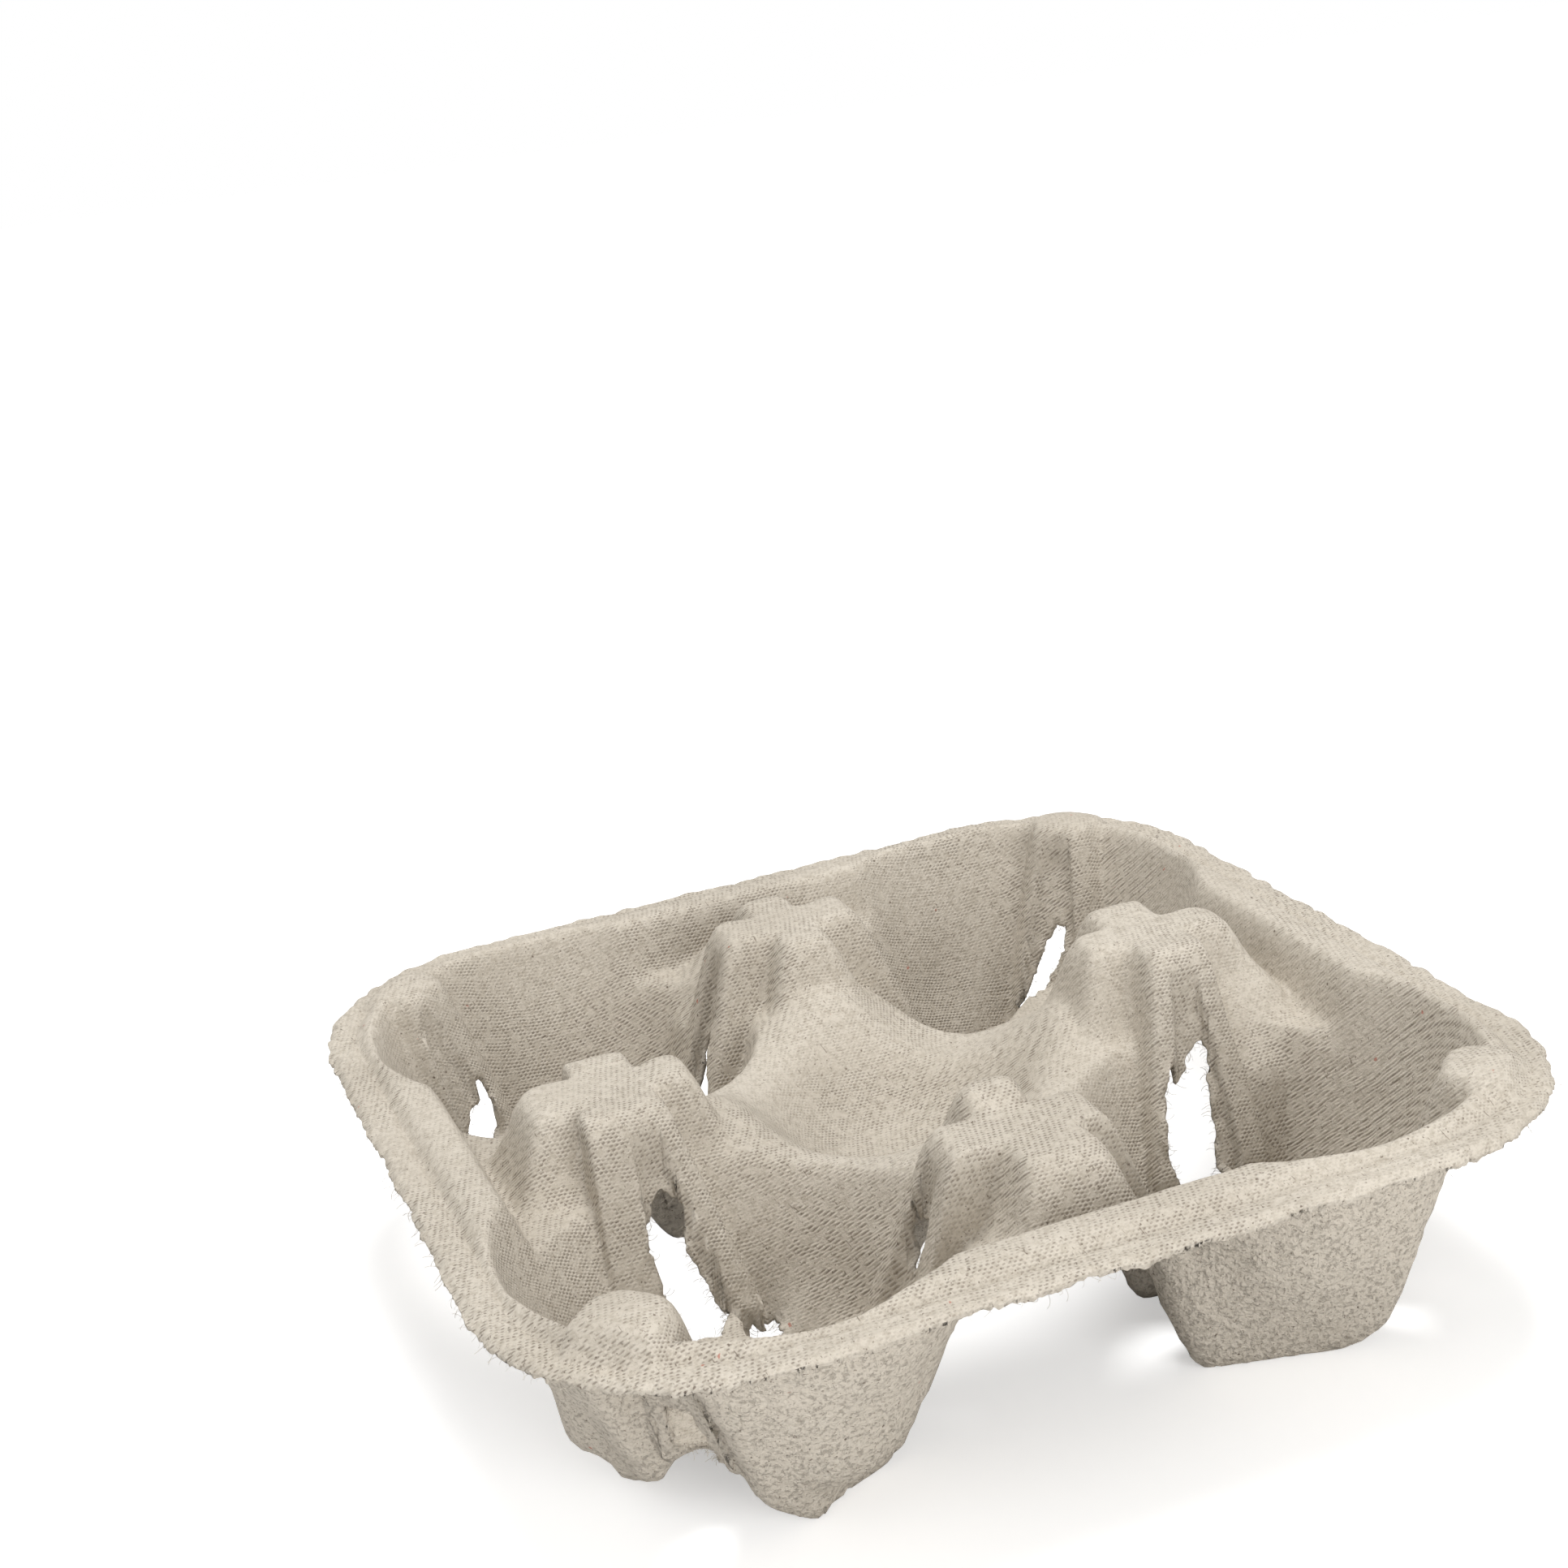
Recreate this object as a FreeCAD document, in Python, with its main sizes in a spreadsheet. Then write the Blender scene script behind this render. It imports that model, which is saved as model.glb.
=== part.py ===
import FreeCAD
import Part
import Sketcher
import math
import os

# Moulded pulp cup carrier with four wells, seen as one sheet of pulp of even thickness.
# Millimetres. +Z up, the feet stand on Z = 0 and the origin is under the centre of the tray.
# The sheet is what lies between two skins. Each skin is the solid under one side of the sheet,
# so the same functions make both, once with no depth and once one wall deeper.

doc = FreeCAD.newDocument("cup_carrier")
V = FreeCAD.Vector

SIZES = [
    ("wall", 2.4, "thickness of the pulp"),
    ("side", 215.0, "overall width and depth across the flange"),
    ("flange_radius", 46.0, "corner radius of the flange"),
    ("flange_width", 8.0, "flange outside the rim bead"),
    ("flange_level", 52.0, "top of the flange above the ground"),
    ("bead_level", 54.0, "top of the rim bead above the ground"),
    ("web_level", 40.0, "top of the web between wells, dish and rim"),
    ("web_side", 175.0, "width of the web at its own level"),
    ("web_radius", 34.0, "corner radius of the web"),
    ("web_draft", 17.0, "lean of the rim's inner slope in degrees"),
    ("well_pitch", 108.0, "distance between neighbouring well axes"),
    ("well_radius", 25.0, "radius of a well at the ground"),
    ("draft", 19.0, "lean of the well walls in degrees"),
    ("floor_level", 14.0, "top of the well floor between the feet"),
    ("floor_radius", 14.0, "radius of the raised floor"),
    ("arch_level", 17.0, "top of the arches that part the feet"),
    ("arch_width", 11.0, "width of an arch at its top"),
    ("arch_draft", 29.0, "lean of the foot ends in degrees"),
    ("post_distance", 60.5, "post axis from the centre of the tray"),
    ("post_level", 58.3, "top of the posts above the ground"),
    ("rib_reach", 16.0, "post rib from the post axis, at the top"),
    ("rib_width", 13.0, "width of a post rib at the top"),
    ("rib_draft", 13.5, "lean of a rib's side towards the dish in degrees"),
    ("rib_rim_draft", 4.0, "lean of a rib's side towards the rim in degrees"),
    ("channel_level", 54.0, "head of the channel in a post rib above the ground"),
    ("channel_depth", 2.6, "depth of the channel in a post rib"),
    ("channel_rim_edge", 2.3, "channel from the post axis towards the rim, at its head"),
    ("channel_dish_edge", 3.0, "channel from the post axis towards the dish, at its head"),
    ("channel_spread", 11.5, "lean of the channel's edge towards the dish in degrees"),
    ("spoke_inner", 45.5, "inner end of a post from the tray centre, at the top"),
    ("spoke_outer", 79.0, "outer end of a post from the tray centre, at the top"),
    ("spoke_width", 12.0, "width of the post's inner and outer lobes at the top"),
    ("shoulder_level", 47.0, "top of the shoulder between a post and the rim"),
    ("shoulder_outer", 84.0, "outer end of the shoulder from the tray centre, at its top"),
    ("shoulder_width", 22.0, "width of the shoulder at its top"),
    ("shoulder_draft", 31.0, "lean of the shoulder's sides in degrees"),
    ("nub_level", 55.0, "top of the corner nubs above the ground"),
    ("nub_start", 37.0, "inner end of a corner nub from the well axis, at the top"),
    ("nub_length", 15.0, "length of a corner nub at its top"),
    ("nub_width", 15.0, "width of a corner nub at its top"),
    ("nub_draft", 13.0, "lean of a corner nub's sides in degrees"),
    ("dish_level", 24.0, "floor of the centre dish above the ground"),
    ("dish_floor_radius", 17.0, "radius of the dish floor"),
    ("dish_draft", 40.0, "lean of the dish wall in degrees"),
    ("slot_top", 40.0, "top of the torn slots above the ground"),
    ("slot_bottom", 8.0, "foot of the torn slots above the ground"),
    ("slot_rim_edge", 2.0, "torn slot from the post axis towards the rim"),
    ("slot_head", 1.5, "torn slot from the post axis towards the dish, at its top"),
    ("slot_foot", 10.5, "torn slot from the post axis towards the dish, at its foot"),
    ("slot_start", 19.0, "inner end of a torn slot from the well axis"),
    ("corner_slot_top", 27.0, "top of the torn slots in the corners above the ground"),
    ("corner_slot_bottom", 12.0, "foot of the torn slots in the corners above the ground"),
    ("corner_slot_head", 2.0, "width of a corner slot at its top"),
    ("corner_slot_foot", 9.0, "width of a corner slot at its foot"),
    ("deep", 12.0, "how far the tools reach below the ground and past the sheet"),
]

sheet = doc.addObject("Spreadsheet::Sheet", "Sizes")
for row, (alias, value, meaning) in enumerate(SIZES, start=1):
    sheet.set("A%d" % row, meaning)
    sheet.set("B%d" % row, str(value))
    sheet.setAlias("B%d" % row, alias)
doc.recompute()

QUARTER = 90.0
EIGHTH = 45.0
# turns from a post's outward axis to the two ends of its ribs
RIB_ENDS = (QUARTER, -QUARTER)
# quarter turns of the wells, with the signs of their places
WELLS = [(0, 1, 1), (1, -1, 1), (2, -1, -1), (3, 1, -1)]
# places of the posts, one per quarter turn
POSTS = [
    (0, "{post_distance}", "0"),
    (1, "0", "{post_distance}"),
    (2, "-{post_distance}", "0"),
    (3, "0", "-{post_distance}"),
]


def expand(text):
    """Write sheet names in full: {wall} becomes Sizes.wall."""
    return text.format(**{alias: "Sizes." + alias for alias, _, _ in SIZES})


def bind(item, **expressions):
    """Tie properties of an object to expressions over the sheet."""
    for prop, text in expressions.items():
        item.setExpression(prop, expand(text))
    return item


def place(item, x="0", y="0", z="0", turn=0.0, tip=0.0):
    """Put an object at a bound point, tipped about X and then turned about Z in degrees."""
    rotation = FreeCAD.Rotation(V(0, 0, 1), turn) * FreeCAD.Rotation(V(1, 0, 0), tip)
    item.Placement = FreeCAD.Placement(V(0, 0, 0), rotation)
    item.setExpression("Placement.Base.x", expand("(%s) * 1 mm" % x))
    item.setExpression("Placement.Base.y", expand("(%s) * 1 mm" % y))
    item.setExpression("Placement.Base.z", expand("(%s) * 1 mm" % z))
    return item


def rounded_square(name, side, radius):
    """A square outline with round corners, centred on the origin."""
    sketch = doc.addObject("Sketcher::SketchObject", name)
    half = 50.0
    arm = 30.0
    bow = half - arm
    corners = [(arm, arm), (-arm, arm), (-arm, -arm), (arm, -arm)]
    ends = [
        (V(arm, half, 0), V(-arm, half, 0)),
        (V(-half, arm, 0), V(-half, -arm, 0)),
        (V(-arm, -half, 0), V(arm, -half, 0)),
        (V(half, -arm, 0), V(half, arm, 0)),
    ]
    for start, end in ends:
        sketch.addGeometry(Part.LineSegment(start, end))
    for turns, (x, y) in enumerate(corners):
        circle = Part.Circle(V(x, y, 0), V(0, 0, 1), bow)
        start = turns * math.pi / 2
        sketch.addGeometry(Part.ArcOfCircle(circle, start, start + math.pi / 2))
    add = sketch.addConstraint
    for line in range(4):
        add(Sketcher.Constraint("Tangent", 4 + line, 2, line, 1))
        add(Sketcher.Constraint("Tangent", line, 2, 4 + (line + 1) % 4, 1))
    for line in (0, 2):
        add(Sketcher.Constraint("Horizontal", line))
        add(Sketcher.Constraint("Vertical", line + 1))
    for arc in range(5, 8):
        add(Sketcher.Constraint("Equal", 4, arc))
    add(Sketcher.Constraint("Symmetric", 4, 3, 6, 3, -1, 1))
    add(Sketcher.Constraint("Radius", 4, bow))
    sketch.renameConstraint(sketch.ConstraintCount - 1, "corner")
    add(Sketcher.Constraint("DistanceX", -1, 1, 3, 1, half))
    sketch.renameConstraint(sketch.ConstraintCount - 1, "half_width")
    add(Sketcher.Constraint("DistanceY", -1, 1, 0, 1, half))
    sketch.renameConstraint(sketch.ConstraintCount - 1, "half_depth")
    sketch.setExpression("Constraints.corner", expand("(%s) * 1 mm" % radius))
    sketch.setExpression("Constraints.half_width", expand("(%s) / 2 * 1 mm" % side))
    sketch.setExpression("Constraints.half_depth", expand("(%s) / 2 * 1 mm" % side))
    return sketch


def slab(name, side, radius, low, high, lean=None):
    """A round-cornered square block between two levels, with its sides leaning out upwards."""
    sketch = rounded_square(name + "_outline", side, radius)
    place(sketch, z=low)
    block = doc.addObject("Part::Extrusion", name)
    block.Base = sketch
    block.DirMode = "Custom"
    block.Dir = V(0, 0, 1)
    block.Solid = True
    bind(block, LengthFwd="((%s) - (%s)) * 1 mm" % (high, low))
    if lean:
        bind(block, TaperAngle="(%s) * 1 deg" % lean)
    return block


def cone(name, low, low_radius, high, high_radius, x="0", y="0"):
    """An upright cone between two levels."""
    item = doc.addObject("Part::Cone", name)
    bind(
        item,
        Radius1="(%s) * 1 mm" % low_radius,
        Radius2="(%s) * 1 mm" % high_radius,
        Height="((%s) - (%s)) * 1 mm" % (high, low),
    )
    return place(item, x, y, low)


def at_level(size, lean, top, level, depth):
    """How far a leaning side stands out at a level, one depth under its outer face.
    It moves sideways by the depth over the cosine of its lean."""
    return "((%s) + ((%s) - (%s)) * tan((%s) * 1 deg) - (%s) / cos((%s) * 1 deg))" % (
        size, top, level, lean, depth, lean,
    )


def air_at_level(size, lean, foot, level, depth):
    """How wide the air over a leaning wall is at a level. It grows by the depth over the
    cosine of the lean."""
    return "((%s) + ((%s) - (%s)) * tan((%s) * 1 deg) + (%s) / cos((%s) * 1 deg))" % (
        size, level, foot, lean, depth, lean,
    )


def column(name, size, lean, top, bottom, depth, x, y):
    """A round column that widens downwards."""
    head = "((%s) - (%s))" % (top, depth)
    return cone(
        name,
        bottom, at_level(size, lean, top, bottom, depth),
        head, at_level(size, lean, top, head, depth),
        x, y,
    )


def wedge(name, low, high, foot, head, x="0", y="0", turn=0.0):
    """An upright bar between two levels. foot and head say where it starts and ends and where
    its right and left sides are at those levels, from the point x, y along the turned axes."""
    item = doc.addObject("Part::Wedge", name)
    bind(
        item,
        Ymin="0 mm",
        Ymax="((%s) - (%s)) * 1 mm" % (high, low),
        Xmin="(%s) * 1 mm" % foot[0],
        Xmax="(%s) * 1 mm" % foot[1],
        Zmin="-(%s) * 1 mm" % foot[3],
        Zmax="-(%s) * 1 mm" % foot[2],
        X2min="(%s) * 1 mm" % head[0],
        X2max="(%s) * 1 mm" % head[1],
        Z2min="-(%s) * 1 mm" % head[3],
        Z2max="-(%s) * 1 mm" % head[2],
    )
    return place(item, x, y, low, turn, QUARTER)


def tapered_bar(name, sides, top, bottom, depth, x="0", y="0", turn=0.0):
    """An upright bar that widens downwards. sides are the (distance, lean) of its start, end,
    left and right at the top level, measured outwards from the point x, y."""
    high = "((%s) - (%s))" % (top, depth)
    outlines = []
    for level in (bottom, high):
        start, end, left, right = [
            at_level(distance, lean, top, level, depth) for distance, lean in sides
        ]
        outlines.append(("-" + start, end, "-" + right, left))
    return wedge(name, bottom, high, outlines[0], outlines[1], x, y, turn)


def fuse(name, parts):
    """Join solids into one."""
    item = doc.addObject("Part::MultiFuse", name)
    item.Shapes = parts
    item.Refine = True
    return item


def cut(name, base, tool):
    """Take one solid out of another."""
    item = doc.addObject("Part::Cut", name)
    item.Base = base
    item.Tool = tool
    item.Refine = True
    return item


def well_parts(name, depth, bottom, quarter, sx, sy):
    """The air of one well, and the floor, arches and nub that stand in it."""
    x = "(%d * {well_pitch} / 2)" % sx
    y = "(%d * {well_pitch} / 2)" % sy
    low = "({wall} - %s)" % depth
    high = "({post_level} + {deep})"
    air = cone(
        "%s_well_%d" % (name, quarter),
        low, air_at_level("{well_radius}", "{draft}", "0", low, depth),
        high, air_at_level("{well_radius}", "{draft}", "0", high, depth),
        x, y,
    )
    label = "%s_" + name + "_%d" % quarter
    floor = column(
        label % "floor", "{floor_radius}", "{draft}", "{floor_level}", bottom, depth, x, y
    )
    kept = [floor]
    outward = EIGHTH + QUARTER * quarter
    for turns, which in ((0, "corner"), (3, "left"), (-3, "right")):
        sides = [
            ("-{floor_radius}", "{arch_draft}"),
            ("{well_radius} + {deep}", "0"),
            ("{arch_width} / 2", "{arch_draft}"),
            ("{arch_width} / 2", "{arch_draft}"),
        ]
        kept.append(
            tapered_bar(
                label % ("arch_" + which), sides, "{arch_level}", bottom, depth,
                x, y, outward + EIGHTH * turns,
            )
        )
    sides = [
        ("-{nub_start}", "{draft}"),
        ("{nub_start} + {nub_length}", "{nub_draft}"),
        ("{nub_width} / 2", "{nub_draft}"),
        ("{nub_width} / 2", "{nub_draft}"),
    ]
    kept.append(tapered_bar(label % "nub", sides, "{nub_level}", bottom, depth, x, y, outward))
    return air, kept


def post_parts(name, depth, bottom, quarter, x, y):
    """A post: two ribs with a channel each, an inner and an outer lobe and the shoulder
    towards the rim."""
    turn = QUARTER * quarter
    label = "%s_" + name + "_%d" % quarter
    top = "{post_level}"
    sides = [
        ("{rib_reach}", "{draft}"),
        ("{rib_reach}", "{draft}"),
        ("{rib_width} / 2", "{rib_draft}"),
        ("{rib_width} / 2", "{rib_rim_draft}"),
    ]
    ribs = tapered_bar(label % "ribs", sides, top, bottom, depth, x, y, turn + QUARTER)
    channels = [
        channel(label % ("channel_%d" % end), depth, bottom, x, y, turn, end) for end in (0, 1)
    ]
    grooved = cut(label % "grooved", ribs, fuse(label % "channels", channels))

    # the lobes and the shoulder end inside the sheet of the web
    web_foot = "({web_level} - {deep})"
    sides = [
        ("-{spoke_inner}", "{draft}"),
        ("{spoke_outer}", "{draft}"),
        ("{spoke_width} / 2", "{draft}"),
        ("{spoke_width} / 2", "{draft}"),
    ]
    spoke = tapered_bar(label % "spoke", sides, top, web_foot, depth, "0", "0", turn)
    sides = [
        ("-{post_distance}", "0"),
        ("{shoulder_outer}", "{shoulder_draft}"),
        ("{shoulder_width} / 2", "{shoulder_draft}"),
        ("{shoulder_width} / 2", "{shoulder_draft}"),
    ]
    shoulder = tapered_bar(
        label % "shoulder", sides, "{shoulder_level}", web_foot, depth, "0", "0", turn
    )
    return [grooved, spoke, shoulder]


def across(end, start, stop, rim_edge, dish_edge):
    """The outline of something in one end of the ribs, which look opposite ways."""
    if end == 0:
        return start, stop, "-" + rim_edge, dish_edge
    return start, stop, "-" + dish_edge, rim_edge


def channel(name, depth, bottom, x, y, turn, end):
    """What a channel takes off one end of the ribs. Its walls lie one depth further out."""
    high = "({channel_level} - %s)" % depth
    outlines = []
    for level in (bottom, high):
        floor = at_level(
            "({rib_reach} - {channel_depth} / cos({draft} * 1 deg))",
            "{draft}", "{post_level}", level, depth,
        )
        slope = "({channel_level} - %s) * tan({channel_spread} * 1 deg)" % level
        dish_edge = "({channel_dish_edge} + %s + %s)" % (slope, depth)
        rim_edge = "({channel_rim_edge} + %s)" % depth
        outlines.append(across(end, floor, "({well_pitch} / 2)", rim_edge, dish_edge))
    return wedge(name, bottom, high, outlines[0], outlines[1], x, y, turn + RIB_ENDS[end])


def skin(name, depth, ground, spread):
    """The solid under one side of the pulp. depth is how far it lies below the upper side,
    ground how far it reaches down and spread how far it reaches past the flange."""
    bottom = "(-(%s))" % ground
    wide = "{side} + 2 * (%s)" % spread
    wide_radius = "{flange_radius} + (%s)" % spread
    flange = slab(name + "_flange", wide, wide_radius, bottom, "{flange_level} - (%s)" % depth)
    bead = slab(
        name + "_bead",
        "{side} - 2 * {flange_width} - 2 * (%s)" % depth,
        "{flange_radius} - {flange_width} - (%s)" % depth,
        bottom,
        "{bead_level} - (%s)" % depth,
    )
    rim = fuse(name + "_rim", [flange, bead])

    # hollow inside the rim, down to the web, and the dish in its middle
    web_shift = air_at_level("0", "{web_draft}", "0", "(-(%s))" % depth, depth)
    hollow = slab(
        name + "_hollow",
        "{web_side} + 2 * %s" % web_shift,
        "{web_radius} + %s" % web_shift,
        "{web_level} - (%s)" % depth,
        "{post_level} + {deep}",
        "{web_draft}",
    )
    dish_low = "({dish_level} - %s)" % depth
    dish_high = "({web_level} + {wall})"
    dish = cone(
        name + "_dish",
        dish_low,
        air_at_level("{dish_floor_radius}", "{dish_draft}", "{dish_level}", dish_low, depth),
        dish_high,
        air_at_level("{dish_floor_radius}", "{dish_draft}", "{dish_level}", dish_high, depth),
    )

    air = [hollow, dish]
    kept = []
    for quarter, sx, sy in WELLS:
        well, standing = well_parts(name, depth, bottom, quarter, sx, sy)
        air.append(well)
        kept += standing
    for quarter, x, y in POSTS:
        kept += post_parts(name, depth, bottom, quarter, x, y)
    opened = cut(name + "_opened", rim, fuse(name + "_hollows", air))
    trimmed = doc.addObject("Part::Common", name + "_trimmed")
    trimmed.Base = fuse(name + "_columns", kept)
    trimmed.Tool = slab(name + "_block", wide, wide_radius, bottom, "{post_level}")
    return fuse(name, [opened, trimmed])


upper = skin("upper", "0", "{deep} / 2", "0")
lower = skin("lower", "{wall}", "{deep}", "{deep}")
whole_sheet = cut("whole_sheet", upper, lower)

slots = []
slot_end = "({well_pitch} / 2 - {slot_start})"
for quarter, x, y in POSTS:
    for end, turn in enumerate(RIB_ENDS):
        foot = across(end, "0", slot_end, "{slot_rim_edge}", "{slot_foot}")
        head = across(end, "0", slot_end, "{slot_rim_edge} / 2", "{slot_head}")
        slots.append(
            wedge(
                "post_slot_%d_%d" % (quarter, end), "{slot_bottom}", "{slot_top}", foot, head,
                x, y, QUARTER * quarter + turn,
            )
        )
for quarter, sx, sy in WELLS:
    foot_half = "{corner_slot_foot} / 2"
    head_half = "{corner_slot_head} / 2"
    slots.append(
        wedge(
            "corner_slot_%d" % quarter, "{corner_slot_bottom}", "{corner_slot_top}",
            ("{slot_start}", "{nub_start}", "-" + foot_half, foot_half),
            ("{slot_start}", "{nub_start}", "-" + head_half, head_half),
            "%d * {well_pitch} / 2" % sx, "%d * {well_pitch} / 2" % sy,
            EIGHTH + QUARTER * quarter,
        )
    )
tray = cut("carrier_tray", whole_sheet, fuse("torn_slots", slots))
tray.Label = "carrier_tray"

doc.recompute()
for item in doc.Objects:
    if "Invalid" in item.State or "Error" in item.State:
        raise RuntimeError("%s did not build" % item.Name)
shape = tray.Shape
if shape.isNull() or not shape.isValid() or len(shape.Solids) != 1:
    raise RuntimeError("the tray is not one sound solid")
os.makedirs("parts", exist_ok=True)
tray.Shape.exportStep("parts/%s.step" % tray.Label)
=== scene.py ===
import math

import bpy
import numpy as np
from bpy.props import FloatProperty, FloatVectorProperty, IntProperty, PointerProperty
from mathutils import Matrix, Vector, noise


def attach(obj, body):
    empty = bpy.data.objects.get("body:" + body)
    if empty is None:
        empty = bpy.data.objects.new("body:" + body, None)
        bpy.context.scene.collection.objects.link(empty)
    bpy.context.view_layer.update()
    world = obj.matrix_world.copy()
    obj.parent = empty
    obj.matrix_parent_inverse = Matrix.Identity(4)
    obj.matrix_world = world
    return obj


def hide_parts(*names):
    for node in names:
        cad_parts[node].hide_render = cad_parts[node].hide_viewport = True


bl_info = {
    "name": "Moulded pulp cup carrier",
    "version": (1, 0, 0),
    "blender": (4, 5, 0),
    "location": "View3D > Sidebar > Cup Carrier",
    "description": "Builds a moulded pulp cup carrier with torn openings, its loose fibres and a studio",
    "category": "Object",
}

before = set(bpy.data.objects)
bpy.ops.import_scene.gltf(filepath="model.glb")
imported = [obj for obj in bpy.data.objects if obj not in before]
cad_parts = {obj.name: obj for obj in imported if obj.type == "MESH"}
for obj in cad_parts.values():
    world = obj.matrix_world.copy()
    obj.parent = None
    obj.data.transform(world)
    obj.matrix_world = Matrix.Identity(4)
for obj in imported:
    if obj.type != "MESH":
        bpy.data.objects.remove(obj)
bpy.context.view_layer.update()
NODE = "carrier_tray"
MM = 0.001

# Sizes of the tray in millimetres, as in the CAD model
LEAN = math.tan(math.radians(19.0))
HALF_SIDE = 107.5
FLANGE_RADIUS = 46.0
FLANGE_WIDTH = 8.0
FLANGE_LEVEL = 52.0
BEAD_LEVEL = 54.0
WEB_LEVEL = 40.0
WEB_HALF = 87.5
WEB_RADIUS = 34.0
WEB_LEAN = math.tan(math.radians(17.0))
VALLEY_LEVEL = 41.0
WELL_OFFSET = 54.0
WELL_RADIUS = 25.0
FLOOR_LEVEL = 14.0
FLOOR_RADIUS = 14.0
FOOT_LEVEL = 2.4
NOWHERE = -50.0
ARCH_LEVEL = 17.0
ARCH_HALF = 5.0
ARCH_FALL = 2.0
ARCH_OFFSET = 1.5
DISH_LEVEL = 24.0
DISH_RADIUS = 16.0
DISH_LEAN = math.tan(math.radians(40.0))
POST_OFFSET = 60.5
RIB_REACH = 16.0
RIB_HALF = 6.5
RIB_RIM_LEAN = math.tan(math.radians(4.0))
RIB_DISH_LEAN = math.tan(math.radians(13.5))
LOBE_HALF = 5.5
OUTER_LOBE = 18.0
INNER_LOBE = 15.0
CORE_RADIUS = 8.2
CHANNEL_DEPTH = 2.6

# The rim: where the bead rises on either side of the flange's inner edge, the groove beside
# it and the crease on the flange as (place, depth, width), and the curled outer edge
BEAD_RISE = (-1.4, 1.8)
GROOVE = (FLANGE_WIDTH - 1.5, 0.75, 0.55)
CREASE = (3.4, 0.35, 0.5)
CURL_DEPTH = 1.9
CURL_RANGE = (-0.8, 2.8)

# Swellings of the web between the dish and each post, and the place where it has sunk:
# (place, height, squared spread)
WEB_SWELL = (40.0, 8.0, 162.0)
WEB_SINK = ((22.0, 25.0), 6.5, 260.0)

# Corners of the tray, anticlockwise from the back right. Rows that follow keep this order.
CORNERS = ((1, 1), (-1, 1), (-1, -1), (1, -1))
# level of each corner nub, and the edges of the channel in its face, left and right, at the
# head and at the floor
NUBS = (
    (55.6, (-2.8, 2.9), (-10.0, 6.4)),
    (55.3, (-6.7, -4.8), (-9.8, 4.4)),
    (58.0, (-3.0, 3.0), (-7.0, 7.0)),
    (56.4, (-3.0, 3.0), (-7.0, 7.0)),
)
NUB_START = 44.5
NUB_REACH = 7.5
NUB_HALF = 3.2
NUB_RECESS = 2.2
# distance from each well's axis to the flat walls of its feet at the ground
FEET = (20.5, 20.5, 17.8, 22.3)
# directions of those walls: beside the arch at the corner, and at the back of the feet
FOOT_SIDE = (0.469, 0.883)
FOOT_BACK = (0.574, 0.819)
# arch at the corner of each well: level, half width of its top, and fall of its sides
CORNER_ARCHES = ((17.0, 5.0, 1.9), (17.0, 5.0, 1.9), (16.5, 8.0, 1.9), (17.0, 7.5, 1.9))
# how much wider each well is at the rim than its cone
FLARES = (0.6, 0.6, 2.2, 0.6)

# Posts: right, back, left and front. The pulp has shrunk unevenly, so their tops differ.
POST_LEVELS = (61.3, 58.6, 58.3, 58.0)
# form of each post: how far the outer lobe is moved aside and widened, the level of the
# shoulder behind it, how far the inner lobe stands above the rest, and how much thicker
# the rib at its front is on the side of the rim
POST_FORMS = (
    (0.0, 0.0, 49.0, 0.0, 0.0),
    (0.0, 0.0, 49.0, 0.0, 0.0),
    (-1.0, 2.5, 44.5, 1.2, 4.0),
    (2.2, 2.3, 43.0, 3.2, 0.0),
)

# Torn openings, one row per level: (level, lowest and highest place across the rib).
# Across a post rib the place is counted outwards from the post axis. POST_TEARS holds the
# ribs, as (post, side), that differ from PLAIN_TEAR.
PLAIN_TEAR = ((37, -2.5, -1.5), (33, -5.0, 0.9), (27, -6.9, 1.9), (21, -9.5, 1.7), (12, -10.9, 1.1))
POST_TEARS = {
    (2, 1): ((41, -2.1, -1.1), (38, -4.3, 1.1), (34, -5.5, 2.8), (28, -4.2, 3.5), (24, -6.0, 3.9),
             (21, -6.8, 2.1), (15, -8.3, 2.0), (12, -9.5, 2.0)),
    (3, -1): ((40, -3.5, -2.0), (37, -5.0, -1.0), (33, -5.0, -1.5), (28, -3.0, -3.4)),
    (0, -1): ((40.5, 1.1, 2.1), (38, -3.0, 2.3), (34, -5.3, 1.7), (30, -8.1, 1.1), (21, -12.5, 0.1),
              (12, -13.5, -0.8)),
}
CORNER_TEARS = (
    ((32, -0.2, 2.6), (27, -3.2, 2.6), (18, -8.2, -1.6), (12, -11.0, -4.0)),
    ((27, -2.0, 0.8), (24, -7.5, 3.2), (19, -7.5, 3.2), (16, -6.5, -1.0)),
    ((30, -3.5, 1.5), (25, -4.5, 3.5), (20, -4.5, 4.0), (15, -3.5, 3.5)),
    ((27, -2.5, 1.5), (22, -4.5, 3.5), (17, -4.0, 3.0)),
)
# where the openings of a post start and end, measured from its axis, and of a nub end
POST_TEAR_START = 12.9
POST_TEAR_END = 35.0
CORNER_TEAR_END = 18.5

# Spacing of the first grid, and rounds of refinement: longest edge, deviation from the
# surface, shortest edge that is split for it, and longest edge beside a tear
GRID = 3.2
REFINEMENT = ((4.6, 0.25, 1.8, 2.0), (4.0, 0.16, 1.4, 1.3), (3.8, 0.13, 1.3, 1.0))

# Studio in metres and watts. Lamps: (name, place, energy, width)
LAMPS = (
    ("top", (0.1, 0.16, 1.5), 17.0, 0.6),
    ("front", (0.3, -1.4, 0.45), 13.0, 0.9),
    ("left", (-1.0, -0.2, 0.9), 4.0, 1.0),
)
FLOOR_HALF = 4.0
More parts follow.
